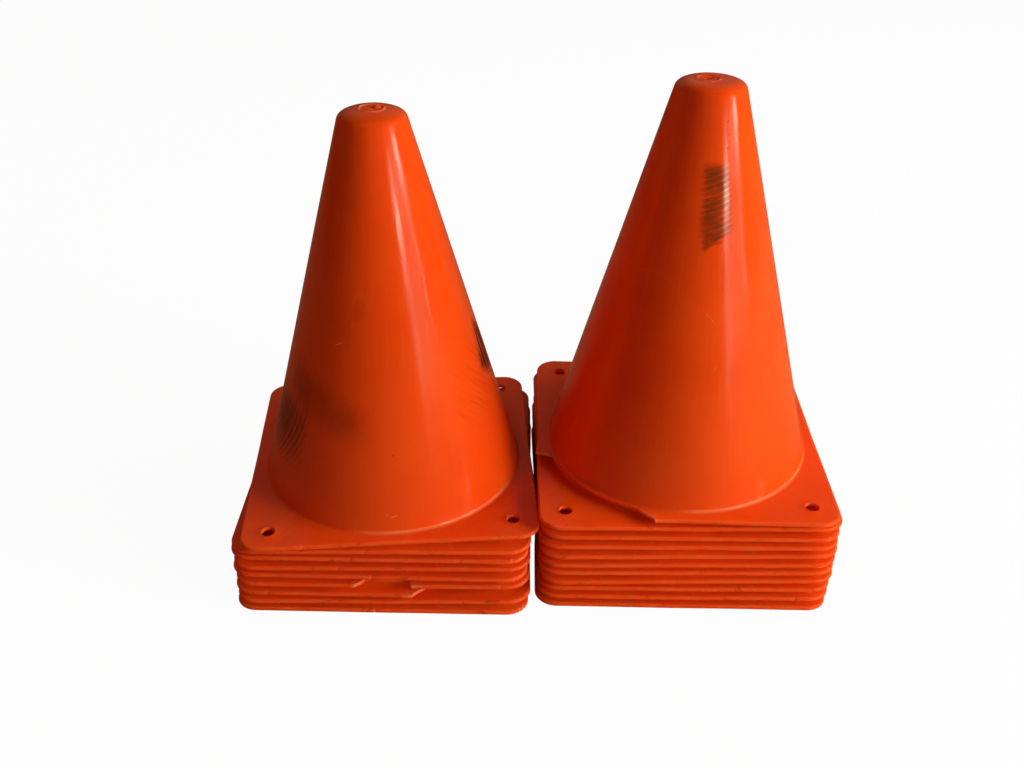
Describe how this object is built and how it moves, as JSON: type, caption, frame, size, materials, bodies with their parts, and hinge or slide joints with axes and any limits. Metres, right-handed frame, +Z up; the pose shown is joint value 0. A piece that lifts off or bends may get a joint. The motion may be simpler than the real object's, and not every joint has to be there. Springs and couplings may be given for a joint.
{
  "type": "sports marker cone",
  "caption": "Stacks of nested orange marker cones, each one a hollow cone with a closed top on a round-cornered square plate with a hole in each corner.",
  "frame": {"origin": "centre of the whole set's box, on the ground under the two stacks", "axes": "+X from the left stack to the right one, +Y to the back, +Z up along the cones' axes"},
  "size_m": [0.2916, 0.1526, 0.2366],
  "materials": {
    "orange_plastic": "semi-gloss moulded polyethylene, scuffed"
  },
  "bodies": {
    "left_cone_01": {"left_cone_01": "orange_plastic"},
    "left_cone_02": {"left_cone_02": "orange_plastic"},
    "left_cone_03": {"left_cone_03": "orange_plastic"},
    "left_cone_04": {"left_cone_04": "orange_plastic"},
    "left_cone_05": {"left_cone_05": "orange_plastic"},
    "left_cone_06": {"left_cone_06": "orange_plastic"},
    "left_cone_07": {"left_cone_07": "orange_plastic"},
    "left_cone_08": {"left_cone_08": "orange_plastic"},
    "left_cone_09": {"left_cone_09": "orange_plastic"},
    "right_cone_01": {"right_cone_01": "orange_plastic"},
    "right_cone_02": {"right_cone_02": "orange_plastic"},
    "right_cone_03": {"right_cone_03": "orange_plastic"},
    "right_cone_04": {"right_cone_04": "orange_plastic"},
    "right_cone_05": {"right_cone_05": "orange_plastic"},
    "right_cone_06": {"right_cone_06": "orange_plastic"},
    "right_cone_07": {"right_cone_07": "orange_plastic"},
    "right_cone_08": {"right_cone_08": "orange_plastic"},
    "right_cone_09": {"right_cone_09": "orange_plastic"},
    "right_cone_10": {"right_cone_10": "orange_plastic"},
    "right_cone_11": {"right_cone_11": "orange_plastic"}
  },
  "joints": [
    {"name": "right_stack_slide", "type": "slide", "parent": "left_cone_01", "child": "right_cone_01", "axis": [1, 0, 0], "range_m": [0, 0.15]},
    {"name": "left_cone_02_lift", "type": "slide", "parent": "left_cone_01", "child": "left_cone_02", "axis": [0, 0, 1], "range_m": [0, 0.19]},
    {"name": "left_cone_03_lift", "type": "slide", "parent": "left_cone_02", "child": "left_cone_03", "axis": [0, 0, 1], "range_m": [0, 0.19]},
    {"name": "left_cone_04_lift", "type": "slide", "parent": "left_cone_03", "child": "left_cone_04", "axis": [0, 0, 1], "range_m": [0, 0.19]},
    {"name": "left_cone_05_lift", "type": "slide", "parent": "left_cone_04", "child": "left_cone_05", "axis": [0, 0, 1], "range_m": [0, 0.19]},
    {"name": "left_cone_06_lift", "type": "slide", "parent": "left_cone_05", "child": "left_cone_06", "axis": [0, 0, 1], "range_m": [0, 0.19]},
    {"name": "left_cone_07_lift", "type": "slide", "parent": "left_cone_06", "child": "left_cone_07", "axis": [0, 0, 1], "range_m": [0, 0.19]},
    {"name": "left_cone_08_lift", "type": "slide", "parent": "left_cone_07", "child": "left_cone_08", "axis": [0, 0, 1], "range_m": [0, 0.19]},
    {"name": "left_cone_09_lift", "type": "slide", "parent": "left_cone_08", "child": "left_cone_09", "axis": [0, 0, 1], "range_m": [0, 0.19]},
    {"name": "right_cone_02_lift", "type": "slide", "parent": "right_cone_01", "child": "right_cone_02", "axis": [0, 0, 1], "range_m": [0, 0.19]},
    {"name": "right_cone_03_lift", "type": "slide", "parent": "right_cone_02", "child": "right_cone_03", "axis": [0, 0, 1], "range_m": [0, 0.19]},
    {"name": "right_cone_04_lift", "type": "slide", "parent": "right_cone_03", "child": "right_cone_04", "axis": [0, 0, 1], "range_m": [0, 0.19]},
    {"name": "right_cone_05_lift", "type": "slide", "parent": "right_cone_04", "child": "right_cone_05", "axis": [0, 0, 1], "range_m": [0, 0.19]},
    {"name": "right_cone_06_lift", "type": "slide", "parent": "right_cone_05", "child": "right_cone_06", "axis": [0, 0, 1], "range_m": [0, 0.19]},
    {"name": "right_cone_07_lift", "type": "slide", "parent": "right_cone_06", "child": "right_cone_07", "axis": [0, 0, 1], "range_m": [0, 0.19]},
    {"name": "right_cone_08_lift", "type": "slide", "parent": "right_cone_07", "child": "right_cone_08", "axis": [0, 0, 1], "range_m": [0, 0.19]},
    {"name": "right_cone_09_lift", "type": "slide", "parent": "right_cone_08", "child": "right_cone_09", "axis": [0, 0, 1], "range_m": [0, 0.19]},
    {"name": "right_cone_10_lift", "type": "slide", "parent": "right_cone_09", "child": "right_cone_10", "axis": [0, 0, 1], "range_m": [0, 0.19]},
    {"name": "right_cone_11_lift", "type": "slide", "parent": "right_cone_10", "child": "right_cone_11", "axis": [0, 0, 1], "range_m": [0, 0.19]}
  ]
}
